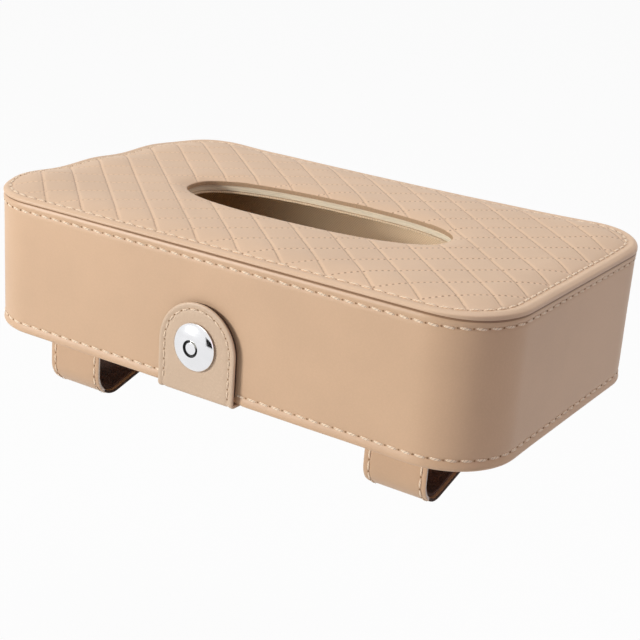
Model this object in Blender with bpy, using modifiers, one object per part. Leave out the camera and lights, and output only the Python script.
"""Car tissue holder: a leather box with a quilted top and a tissue slot.

Origin at the centre of the base's outer face, +X to the right along the box,
+Y to the back and +Z up. The box is open below. A leather covered base panel
fills the opening: it hinges on a leather strip at the back and is held shut by
a snap tab that comes up over the front wall. Two straps under the base panel
close on hook tape and go round a sun visor or an armrest.
"""

import math

import bmesh
import bpy
from mathutils import Vector

MM = 0.001

# Driving dimensions of the box, in metres
LENGTH = 230 * MM
DEPTH = 142 * MM
WALL_HEIGHT = 54 * MM
CORNER_RADIUS = 27 * MM
CORNER_STEPS = 9
GAP = 0.3 * MM

# The layers of the wall, each counted inwards from the outline
SKIN = 1.2 * MM
BOARD = 2.0 * MM
LINING = 0.7 * MM
BOARD_INSET = SKIN + GAP
LINING_INSET = BOARD_INSET + BOARD + GAP
SKIN_ROLL = 1.5 * MM
TURN_IN = BOARD_INSET + BOARD
LIP = 5.0 * MM

# The top panel, whose board fits inside the wall and whose skin lies over the wall's edge
TOP_BOARD = 2.6 * MM
TOP_LINING = 0.7 * MM
TOP_FOAM = 0.5 * MM
TOP_BOARD_LOW = WALL_HEIGHT - TOP_BOARD
TOP_LINING_TOP = TOP_BOARD_LOW - GAP
TOP_LINING_LOW = TOP_LINING_TOP - TOP_LINING
TOP_FOAM_LOW = WALL_HEIGHT + GAP
TOP_FOAM_TOP = TOP_FOAM_LOW + TOP_FOAM
TOP_SKIN_LOW = WALL_HEIGHT + GAP
TOP_SKIN_HIGH = TOP_FOAM_TOP + GAP + 0.5 * MM
TOP_EDGE_ROLL = 0.9 * MM
QUILT_BORDER = 5.5 * MM
QUILT_PUFF = 1.4 * MM

# The quilted panel and its slot were sewn on slightly askew, turned as seen from above
PANEL_TURN = math.radians(2.0)
CREASE_PITCH = 12.65 * MM
CREASE_SHIFT = -2.9 * MM
ROW_PITCH = 12.9 * MM
ROW_SHIFT = -3.4 * MM

# The tissue slot, an oval a little fuller than an ellipse
SLOT_CENTRE = (0.2 * MM, -1.0 * MM)
SLOT_HALF_LENGTH = 58.9 * MM
SLOT_HALF_WIDTH = 21.2 * MM
SLOT_POWER = 2.45
SLOT_STEPS = 48
SLOT_LEATHER = 1.2 * MM

# The base panel, inset in the wall's lip
BASE_INSET = LIP + 0.6 * MM
BASE_BOARD = 3.0 * MM
BASE_BOARD_LOW = SKIN + GAP
BASE_BOARD_HIGH = BASE_BOARD_LOW + BASE_BOARD
BASE_LINING_LOW = BASE_BOARD_HIGH + GAP
BASE_FLAT_HALF_X = 45 * MM
BASE_FLAT_HALF_Y = 38 * MM
BASE_CROWN = 0.2 * MM

# The leather strip that the base panel hinges on
HINGE_THICK = 0.7 * MM
HINGE_HALF_LENGTH = 85 * MM
HINGE_Y = DEPTH / 2 - LIP - GAP
HINGE_Z = -GAP - HINGE_THICK
HINGE_ON_WALL = 4.0 * MM
HINGE_ON_BASE = 8.5 * MM

# The snap tab
TAB_HALF_WIDTH = 17.5 * MM
TAB_TOP = 35 * MM
TAB_STEPS = 20
TAB_LINING = 0.8 * MM
TAB_INNER_Y = -DEPTH / 2 - GAP
TAB_LINING_Y = TAB_INNER_Y - TAB_LINING
TAB_SKIN_Y = TAB_LINING_Y - GAP
TAB_OUTER_Y = TAB_SKIN_Y - SKIN
TAB_LOW = -GAP - SKIN
TAB_ROOT_BACK = -47 * MM

# The magnetic snap: a cap on the tab and a socket in the wall
SNAP_X = -0.5 * MM
SNAP_Z = 18.2 * MM
CAP_RADIUS = 9.2 * MM
CAP_RIM = 0.7 * MM
CAP_HEIGHT = 2.7 * MM
CAP_DIMPLE_RADIUS = 3.0 * MM
CAP_DIMPLE_DEPTH = 0.6 * MM
SOCKET_RADIUS = 9.0 * MM
SOCKET_GROOVE_IN = 4.6 * MM
SOCKET_GROOVE_OUT = 6.4 * MM
SOCKET_GROOVE_DEPTH = 0.4 * MM
MAGNET_RADIUS = 8.0 * MM
POST_RADIUS = 1.5 * MM
ROUND_STEPS = 40

# The two straps, each a path in the YZ plane that the outer face follows: name, middle and lowest point
STRAPS = (("left", -74.3 * MM, -25.6 * MM), ("right", 76.7 * MM, -23.2 * MM))
STRAP_HALF_WIDTH = 12.75 * MM
STRAP_THICK = 1.5 * MM
TAPE_THICK = 1.0 * MM
TAPE_HALF_WIDTH = 11.6 * MM
STRAP_ROOT_Y = -56.2 * MM
STRAP_FRONT_Y = -57.0 * MM
STRAP_BEND = 9.5 * MM
STRAP_SLOPE = 0.28
STRAP_END_Y = 58 * MM
STRAP_EASE = 40 * MM
BEND_STEPS = 9
EASE_STEPS = 4
PATCH_Y = (30 * MM, 57 * MM)
PATCH_LOW = -GAP - TAPE_THICK
STRAP_FLAT_Z = PATCH_LOW - GAP - TAPE_THICK - GAP - STRAP_THICK
TAPE_TOP_CUT = 0.5 * MM
ROOT_LEAF = 1.1 * MM
ROOT_BACK_Y = -40 * MM

COLLECTION = "car_tissue_holder"


def clear_scene():
    for obj in list(bpy.data.objects):
        bpy.data.objects.remove(obj, do_unlink=True)


def make_collection(name):
    found = bpy.data.collections.new(name)
    bpy.context.scene.collection.children.link(found)
    return found


def make_material(name, colour, roughness, metallic=0.0):
    material = bpy.data.materials.new(name)
    material.use_nodes = True
    shader = material.node_tree.nodes["Principled BSDF"]
    shader.inputs["Base Color"].default_value = (*colour, 1.0)
    shader.inputs["Roughness"].default_value = roughness
    shader.inputs["Metallic"].default_value = metallic
    return material


def arc(centre, radius, start, end, steps):
    """Points of an arc, in degrees, both ends included."""
    points = []
    for step in range(steps + 1):
        angle = math.radians(start + (end - start) * step / steps)
        points.append((centre[0] + radius * math.cos(angle), centre[1] + radius * math.sin(angle)))
    return points


def box_outline(inset):
    """The box's rounded rectangle, drawn in by the inset."""
    radius = CORNER_RADIUS - inset
    across = LENGTH / 2 - CORNER_RADIUS
    along = DEPTH / 2 - CORNER_RADIUS
    points = []
    for side_x, side_y, start in ((1, 1, 0), (-1, 1, 90), (-1, -1, 180), (1, -1, 270)):
        centre = (side_x * across, side_y * along)
        points += arc(centre, radius, start, start + 90, CORNER_STEPS)
    return points


def slot_outline(grow=0.0):
    """The tissue slot's oval, made larger all round by grow."""
    points = []
    for step in range(SLOT_STEPS):
        angle = 2 * math.pi * step / SLOT_STEPS
        cosine, sine = math.cos(angle), math.sin(angle)
        reach_x = math.copysign(abs(cosine) ** (2 / SLOT_POWER), cosine)
        reach_y = math.copysign(abs(sine) ** (2 / SLOT_POWER), sine)
        x, y = (SLOT_HALF_LENGTH + grow) * reach_x, (SLOT_HALF_WIDTH + grow) * reach_y
        turned_x = x * math.cos(PANEL_TURN) - y * math.sin(PANEL_TURN)
        turned_y = x * math.sin(PANEL_TURN) + y * math.cos(PANEL_TURN)
        points.append((SLOT_CENTRE[0] + turned_x, SLOT_CENTRE[1] + turned_y))
    return points


def rectangle(low_x, high_x, low_y, high_y):
    return [(low_x, low_y), (high_x, low_y), (high_x, high_y), (low_x, high_y)]


class Shop:
    """Makes pieces and puts each one in its collection with its material."""

    def __init__(self):
        self.parts = make_collection(COLLECTION)
        self.helpers = make_collection("cutters")
        self.materials = {
            "leather": make_material("leather", (0.70, 0.48, 0.32), 0.5),
            "quilted_leather": make_material("quilted_leather", (0.73, 0.52, 0.38), 0.5),
            "backing": make_material("backing", (0.60, 0.42, 0.29), 0.7),
            "board": make_material("board", (0.62, 0.55, 0.46), 0.85),
            "foam": make_material("foam", (0.80, 0.78, 0.70), 0.9),
            "lining": make_material("lining", (0.27, 0.20, 0.14), 0.9),
            "tape": make_material("tape", (0.035, 0.015, 0.008), 0.95),
            "chrome": make_material("chrome", (0.85, 0.85, 0.86), 0.12, 1.0),
            "magnet": make_material("magnet", (0.22, 0.22, 0.23), 0.5, 0.8),
        }

    def place(self, obj, material=None):
        """Links the object as a part, or as a cutter when it has no material."""
        for owner in list(obj.users_collection):
            owner.objects.unlink(obj)
        if material is None:
            obj.hide_render = True
            obj.display_type = "WIRE"
            self.helpers.objects.link(obj)
        else:
            obj.data.materials.clear()
            obj.data.materials.append(self.materials[material])
            self.parts.objects.link(obj)
        return obj

    def as_mesh(self, obj, material=None):
        """Swaps a curve object for a welded mesh object of the same name and place."""
        bpy.context.view_layer.update()
        graph = bpy.context.evaluated_depsgraph_get()
        mesh = bpy.data.meshes.new_from_object(obj.evaluated_get(graph))
        work = bmesh.new()
        work.from_mesh(mesh)
        bmesh.ops.remove_doubles(work, verts=work.verts, dist=0.01 * MM)
        bmesh.ops.recalc_face_normals(work, faces=work.faces)
        work.to_mesh(mesh)
        work.free()
        name, matrix = obj.name, obj.matrix_world.copy()
        bpy.data.objects.remove(obj, do_unlink=True)
        made = bpy.data.objects.new(name, mesh)
        made.matrix_world = matrix
        return self.place(made, material)

    def flat(self, name, loops, low, high, material=None):
        """A plate from low to high in Z. The first loop is its edge, the others are holes."""
        curve = bpy.data.curves.new(name, "CURVE")
        curve.dimensions = "2D"
        curve.fill_mode = "BOTH"
        curve.extrude = (high - low) / 2
        for loop in loops:
            spline = curve.splines.new("POLY")
            spline.points.add(len(loop) - 1)
            spline.use_cyclic_u = True
            for point, (x, y) in zip(spline.points, loop):
                point.co = (x, y, 0.0, 1.0)
        obj = bpy.data.objects.new(name, curve)
        obj.location.z = (low + high) / 2
        bpy.context.scene.collection.objects.link(obj)
        return self.as_mesh(obj, material)

    def upright(self, name, loops, near, far, material=None):
        """A plate standing in the XZ plane, from near to far in Y."""
        obj = self.flat(name, loops, -far, -near, material)
        obj.data.transform(obj.matrix_world)
        obj.location = (0, 0, 0)
        obj.rotation_euler = (math.radians(90), 0, 0)
        return obj

    def sideways(self, name, loop, centre_x, half_width, material=None):
        """A profile in the YZ plane, extruded along X."""
        obj = self.flat(name, [loop], -half_width, half_width, material)
        obj.location = (centre_x, 0, 0)
        obj.rotation_euler = (math.radians(90), 0, math.radians(90))
        return obj

    def disc(self, name, radius, near, far, material=None):
        """A round plate on the snap's axis, from near to far in Y."""
        loop = [(SNAP_X + x, SNAP_Z + z) for x, z in arc((0, 0), radius, 0, 360, ROUND_STEPS)[:-1]]
        return self.upright(name, [loop], near, far, material)

    def turned(self, name, profile, front_y, material):
        """A profile of (radius, height) turned about the snap's axis, heights towards the front."""
        mesh = bpy.data.meshes.new(name)
        mesh.from_pydata([(r, 0, h) for r, h in profile], [(i, i + 1) for i in range(len(profile) - 1)], [])
        obj = bpy.data.objects.new(name, mesh)
        obj.location = (SNAP_X, front_y, SNAP_Z)
        obj.rotation_euler = (math.radians(90), 0, 0)
        screw = obj.modifiers.new("turn", "SCREW")
        screw.steps = ROUND_STEPS
        screw.render_steps = ROUND_STEPS
        screw.use_merge_vertices = True
        screw.merge_threshold = 0.00001
        return self.place(obj, material)

    def combine(self, obj, other, operation):
        modifier = obj.modifiers.new(operation.lower(), "BOOLEAN")
        modifier.operation = operation
        modifier.object = other
        modifier.solver = "EXACT"
        return obj


def wall_profile():
    """The side skin's section: x inwards from the outline, y up from the lip."""
    points = [(LIP, SKIN), (LIP, 0.0)]
    points += arc((SKIN_ROLL, SKIN_ROLL), SKIN_ROLL, 270, 180, 3)
    points += arc((SKIN_ROLL, WALL_HEIGHT - SKIN_ROLL), SKIN_ROLL, 180, 90, 3)
    points += [(TURN_IN, WALL_HEIGHT), (TURN_IN, WALL_HEIGHT - SKIN)]
    points += [(SKIN, WALL_HEIGHT - SKIN), (SKIN, SKIN)]
    return points


def make_side_skin(shop):
    """One leather band round the box, turned in at the top and under the lip."""
    section = bpy.data.curves.new("side_skin_section", "CURVE")
    section.dimensions = "2D"
    spline = section.splines.new("POLY")
    profile = wall_profile()
    spline.points.add(len(profile) - 1)
    spline.use_cyclic_u = True
    for point, (inwards, up) in zip(spline.points, profile):
        point.co = (-inwards, up, 0.0, 1.0)
    guide = shop.place(bpy.data.objects.new("side_skin_section", section))

    path = bpy.data.curves.new("side_skin", "CURVE")
    path.dimensions = "3D"
    path.twist_mode = "Z_UP"
    path.bevel_mode = "OBJECT"
    path.bevel_object = guide
    path.fill_mode = "FULL"
    spline = path.splines.new("POLY")
    outline = box_outline(0.0)
    spline.points.add(len(outline) - 1)
    spline.use_cyclic_u = True
    for point, (x, y) in zip(spline.points, outline):
        point.co = (x, y, 0.0, 1.0)
    obj = bpy.data.objects.new("side_skin", path)
    bpy.context.scene.collection.objects.link(obj)
    skin = shop.as_mesh(obj, "leather")
    hole = shop.disc("socket_hole", SOCKET_RADIUS + GAP, -DEPTH / 2 - SKIN, -DEPTH / 2 + SKIN + GAP)
    return shop.combine(skin, hole, "DIFFERENCE")


def make_wall_layers(shop):
    """The board inside the side skin and the lining inside the board."""
    layers = (
        ("side_board", BOARD_INSET, BOARD, WALL_HEIGHT - SKIN - GAP, "board"),
        ("side_lining", LINING_INSET, LINING, TOP_LINING_LOW - GAP, "lining"),
    )
    for name, inset, thick, high, material in layers:
        loops = [box_outline(inset), box_outline(inset + thick)]
        layer = shop.flat(name, loops, SKIN + GAP, high, material)
        near = -DEPTH / 2 + inset - GAP / 2
        hole = shop.disc(name + "_hole", MAGNET_RADIUS + GAP, near, near + thick + GAP)
        shop.combine(layer, hole, "DIFFERENCE")


def make_top_layers(shop):
    """The foam, board and lining under the quilted skin, each with the tissue slot."""
    foam_slot = slot_outline(SLOT_LEATHER + GAP)
    shop.flat("top_foam", [box_outline(QUILT_BORDER), foam_slot], TOP_FOAM_LOW, TOP_FOAM_TOP, "foam")
    board_edge = box_outline(TURN_IN + GAP)
    shop.flat("top_board", [board_edge, slot_outline()], TOP_BOARD_LOW, WALL_HEIGHT, "board")
    shop.flat("top_lining", [board_edge, slot_outline()], TOP_LINING_LOW, TOP_LINING_TOP, "lining")


def crease_planes():
    """A point and a normal for each line of the quilting, in both directions."""
    reach = math.hypot(LENGTH, DEPTH) / 2
    planes = []
    for angle, pitch, shift in ((45, CREASE_PITCH, CREASE_SHIFT), (135, ROW_PITCH, ROW_SHIFT)):
        turned = math.radians(angle) + PANEL_TURN
        normal = Vector((math.cos(turned), math.sin(turned), 0))
        count = int(reach / pitch) + 1
        planes += [(normal * (step * pitch + shift), normal) for step in range(-count, count + 1)]
    return planes


def quilt(skin):
    """Rolls the skin's outer edge and raises a puff in each diamond inside its plain border."""
    work = bmesh.new()
    work.from_mesh(skin.data)
    bmesh.ops.dissolve_limit(work, angle_limit=0.01, verts=work.verts, edges=work.edges)
    top = max(work.faces, key=lambda face: face.normal.z)
    bmesh.ops.bevel(
        work, geom=list(top.edges), offset=TOP_EDGE_ROLL, segments=2, profile=0.5, affect="EDGES"
    )
    top = max(work.faces, key=lambda face: face.calc_area() * face.normal.z)
    border = QUILT_BORDER - TOP_EDGE_ROLL
    bmesh.ops.inset_region(work, faces=[top], thickness=border, use_even_offset=True)
    top.material_index = 1
    for point, normal in crease_planes():
        faces = [face for face in work.faces if face.material_index == 1]
        edges = list({edge for face in faces for edge in face.edges})
        verts = list({vert for face in faces for vert in face.verts})
        bmesh.ops.bisect_plane(
            work, geom=verts + edges + faces, dist=0.001 * MM, plane_co=point, plane_no=normal
        )
    puffs = [face for face in work.faces if face.material_index == 1]
    for face in puffs:
        face.material_index = 0
        size = min(1.0, face.calc_area() / (CREASE_PITCH * ROW_PITCH))
        poked = bmesh.ops.poke(work, faces=[face], offset=0.0)
        poked["verts"][0].co.z += QUILT_PUFF * math.sqrt(size)
    bmesh.ops.triangulate(work, faces=work.faces)
    work.to_mesh(skin.data)
    work.free()


def make_top_skin(shop):
    """The quilted leather, whose edges close round the foam at the border and in the slot."""
    skin = shop.flat("top_skin", [box_outline(0.0)], TOP_SKIN_LOW, TOP_SKIN_HIGH, "quilted_leather")
    quilt(skin)
    above = TOP_SKIN_HIGH + 2 * QUILT_PUFF
    hole = shop.flat("slot_hole", [slot_outline()], WALL_HEIGHT, above)
    shop.combine(skin, hole, "DIFFERENCE")
    loops = [box_outline(QUILT_BORDER - GAP), slot_outline(SLOT_LEATHER)]
    pocket = shop.flat("foam_pocket", loops, WALL_HEIGHT, TOP_FOAM_TOP + GAP)
    return shop.combine(skin, pocket, "DIFFERENCE")


def make_snap_socket(shop):
    """The wall's half of the snap: a plate flush with the leather, a magnet and its backing."""
    front = -DEPTH / 2
    profile = [
        (0.0, 0.0),
        (SOCKET_GROOVE_IN, 0.0),
        (SOCKET_GROOVE_IN, -SOCKET_GROOVE_DEPTH),
        (SOCKET_GROOVE_OUT, -SOCKET_GROOVE_DEPTH),
        (SOCKET_GROOVE_OUT, 0.0),
        (SOCKET_RADIUS, 0.0),
        (SOCKET_RADIUS, -SKIN),
        (0.0, -SKIN),
    ]
    shop.turned("snap_socket", profile, front, "chrome")
    board_y = front + BOARD_INSET
    shop.disc("snap_magnet", MAGNET_RADIUS, board_y, board_y + BOARD, "magnet")
    lining_y = front + LINING_INSET
    shop.disc("snap_backing", MAGNET_RADIUS, lining_y, lining_y + LINING, "chrome")


def make_base(shop):
    """The panel that closes the box: leather turned up round a board, with a lining on top."""
    outline = box_outline(BASE_INSET)
    skin = shop.flat("base_skin", [outline], 0.0, BASE_BOARD_HIGH, "leather")
    crown(skin)
    pocket = shop.flat("base_pocket", [box_outline(BASE_INSET + SKIN)], SKIN, BASE_LINING_LOW + GAP)
    shop.combine(skin, pocket, "DIFFERENCE")
    inner = box_outline(BASE_INSET + SKIN + GAP)
    board = shop.flat("base_board", [inner], BASE_BOARD_LOW, BASE_BOARD_HIGH, "board")
    lining_edge = box_outline(BASE_INSET + SKIN / 2)
    shop.flat("base_lining", [lining_edge], BASE_LINING_LOW, BASE_LINING_LOW + LINING, "lining")
    for side, centre, _ in STRAPS:
        half = STRAP_HALF_WIDTH + GAP
        slit_back = STRAP_ROOT_Y + STRAP_THICK + GAP
        slit = rectangle(centre - half, centre + half, STRAP_ROOT_Y - GAP, slit_back)
        cutter = shop.flat("slit_" + side, [slit], -SKIN, SKIN + GAP)
        shop.combine(skin, cutter, "DIFFERENCE")
        seat = rectangle(centre - half, centre + half, STRAP_ROOT_Y - GAP, ROOT_BACK_Y + GAP)
        high = BASE_BOARD_LOW + ROOT_LEAF + GAP
        cutter = shop.flat("seat_" + side, [seat], SKIN, high)
        shop.combine(board, cutter, "DIFFERENCE")


def crown(skin):
    """Lifts the outer face slightly outside its flat middle, as leather over a board does."""
    work = bmesh.new()
    work.from_mesh(skin.data)
    bmesh.ops.dissolve_limit(work, angle_limit=0.01, verts=work.verts, edges=work.edges)
    low = min(vert.co.z for vert in work.verts)
    for axis, half in ((0, BASE_FLAT_HALF_X), (1, BASE_FLAT_HALF_Y)):
        for side in (-1, 1):
            normal = Vector((0, 0, 0))
            normal[axis] = side
            bottom = [face for face in work.faces if face.normal.z < -0.9]
            edges = list({edge for face in bottom for edge in face.edges})
            verts = list({vert for face in bottom for vert in face.verts})
            bmesh.ops.bisect_plane(
                work, geom=verts + edges + bottom, dist=0.001 * MM, plane_co=normal * half, plane_no=normal
            )
    for vert in work.verts:
        outside = abs(vert.co.x) > BASE_FLAT_HALF_X + GAP or abs(vert.co.y) > BASE_FLAT_HALF_Y + GAP
        if outside and vert.co.z < low + GAP:
            vert.co.z += BASE_CROWN
    bmesh.ops.triangulate(work, faces=work.faces)
    work.to_mesh(skin.data)
    work.free()


def make_hinge(shop):
    """The leather strip at the back, as one leaf on the lip and one on the base panel."""
    half = HINGE_HALF_LENGTH
    leaf = rectangle(-half, half, HINGE_Y + GAP / 2, HINGE_Y + HINGE_ON_WALL)
    shop.flat("hinge_leaf_wall", [leaf], HINGE_Z, -GAP, "leather")
    leaf = rectangle(-half, half, HINGE_Y - HINGE_ON_BASE, HINGE_Y - GAP / 2)
    shop.flat("hinge_leaf_base", [leaf], HINGE_Z, -GAP, "leather")


def tab_outline():
    centre = (0.0, TAB_TOP - TAB_HALF_WIDTH)
    points = [(-TAB_HALF_WIDTH, TAB_LOW), (TAB_HALF_WIDTH, TAB_LOW)]
    return points + arc(centre, TAB_HALF_WIDTH, 0, 180, TAB_STEPS)


def round_hole(radius):
    return [(SNAP_X + x, SNAP_Z + z) for x, z in arc((0, 0), radius, 0, 360, ROUND_STEPS)[:-1]]


def make_tab(shop):
    """The snap tab: two leather layers with the snap's cap, post and armature."""
    outline = tab_outline()
    loops = [outline, round_hole(POST_RADIUS + GAP)]
    shop.upright("tab_skin", loops, TAB_OUTER_Y, TAB_SKIN_Y, "leather")
    loops = [outline, round_hole(MAGNET_RADIUS + GAP)]
    shop.upright("tab_lining", loops, TAB_LINING_Y, TAB_INNER_Y, "backing")
    shop.disc("snap_armature", MAGNET_RADIUS, TAB_LINING_Y, TAB_INNER_Y, "chrome")
    shop.disc("snap_post", POST_RADIUS, TAB_OUTER_Y, TAB_SKIN_Y, "chrome")
    make_cap(shop)
    root = rectangle(-TAB_HALF_WIDTH, TAB_HALF_WIDTH, TAB_INNER_Y + GAP, TAB_ROOT_BACK)
    shop.flat("tab_root", [root], TAB_LOW, -GAP, "leather")


def make_cap(shop):
    """The snap's domed cap, with a plain round dimple in the middle."""
    dimple_low = CAP_HEIGHT - CAP_DIMPLE_DEPTH
    profile = [(0.0, dimple_low), (CAP_DIMPLE_RADIUS * 0.7, dimple_low)]
    steps = 7
    for step in range(steps + 1):
        radius = CAP_DIMPLE_RADIUS + (CAP_RADIUS - CAP_DIMPLE_RADIUS) * step / steps
        share = (radius - CAP_DIMPLE_RADIUS) / (CAP_RADIUS - CAP_DIMPLE_RADIUS)
        height = CAP_RIM + (CAP_HEIGHT - CAP_RIM) * math.sqrt(1 - share * share)
        profile.append((radius, height))
    profile += [(CAP_RADIUS, 0.0), (0.0, 0.0)]
    shop.turned("snap_cap", profile, TAB_OUTER_Y - GAP, "chrome")


def strap_path(lowest):
    """A strap's outer face: down from the base, round the bend, back and up to the hook tape."""
    tilt = math.degrees(math.atan(STRAP_SLOPE))
    bend_centre = (STRAP_FRONT_Y + STRAP_BEND, lowest + STRAP_BEND)
    points = [(STRAP_ROOT_Y, -GAP)]
    points += arc(bend_centre, STRAP_BEND, 180, 270 + tilt, BEND_STEPS)
    last_y, last_z = points[-1]
    meet_y = last_y + (STRAP_FLAT_Z - last_z) / STRAP_SLOPE
    tangent = STRAP_EASE * math.tan(math.radians(tilt / 2))
    ease_centre = (meet_y + tangent, STRAP_FLAT_Z - STRAP_EASE)
    points += arc(ease_centre, STRAP_EASE, 90 + tilt, 90, EASE_STEPS)
    points.append((STRAP_END_Y, STRAP_FLAT_Z))
    return points


def offset_path(points, distance):
    """The path moved sideways, towards the inside of the strap's loop."""
    moved = []
    for index, point in enumerate(points):
        before = Vector(points[max(index - 1, 0)])
        after = Vector(points[min(index + 1, len(points) - 1)])
        along = (after - before).normalized()
        moved.append((point[0] - along.y * distance, point[1] + along.x * distance))
    return moved


def level_start(path, height):
    """Moves the path's first point along its first stretch to the given height."""
    first, second = Vector(path[0]), Vector(path[1])
    share = (height - first.y) / (second.y - first.y)
    start = first + (second - first) * share
    return [(start.x, start.y)] + path[1:]


def make_strap(shop, side, centre, lowest):
    """A strap with its inner tape, its sewn root in the base and the hook patch it closes on."""
    path = strap_path(lowest)
    outer = level_start(path, -GAP)
    inner = level_start(offset_path(path, STRAP_THICK), -GAP)
    loop = outer + inner[::-1]
    shop.sideways(f"strap_{side}", loop, centre, STRAP_HALF_WIDTH, "leather")

    outer = level_start(offset_path(path, STRAP_THICK + GAP), -GAP - TAPE_TOP_CUT)
    inner = level_start(offset_path(path, STRAP_THICK + GAP + TAPE_THICK), -GAP - TAPE_TOP_CUT)
    loop = outer + inner[::-1]
    shop.sideways(f"strap_{side}_tape", loop, centre, TAPE_HALF_WIDTH, "tape")

    leaf_low = BASE_BOARD_LOW
    leaf_high = leaf_low + ROOT_LEAF
    back = STRAP_ROOT_Y + STRAP_THICK
    loop = [
        (STRAP_ROOT_Y, BASE_CROWN / 2),
        (back, BASE_CROWN / 2),
        (back, leaf_low),
        (ROOT_BACK_Y, leaf_low),
        (ROOT_BACK_Y, leaf_high),
        (STRAP_ROOT_Y, leaf_high),
    ]
    shop.sideways(f"strap_{side}_root", loop, centre, STRAP_HALF_WIDTH, "leather")
    patch = rectangle(centre - TAPE_HALF_WIDTH, centre + TAPE_HALF_WIDTH, *PATCH_Y)
    shop.flat(f"strap_{side}_hook_patch", [patch], PATCH_LOW, -GAP, "tape")


def smooth_round_pieces():
    for name in ("snap_cap", "snap_socket", "side_skin", "tab_skin"):
        mesh = bpy.data.objects[name].data
        mesh.shade_smooth()
        mesh.set_sharp_from_angle(angle=math.radians(30))


def main():
    clear_scene()
    shop = Shop()
    make_side_skin(shop)
    make_wall_layers(shop)
    make_top_layers(shop)
    make_top_skin(shop)
    make_snap_socket(shop)
    make_base(shop)
    make_hinge(shop)
    make_tab(shop)
    for strap in STRAPS:
        make_strap(shop, *strap)
    smooth_round_pieces()


main()
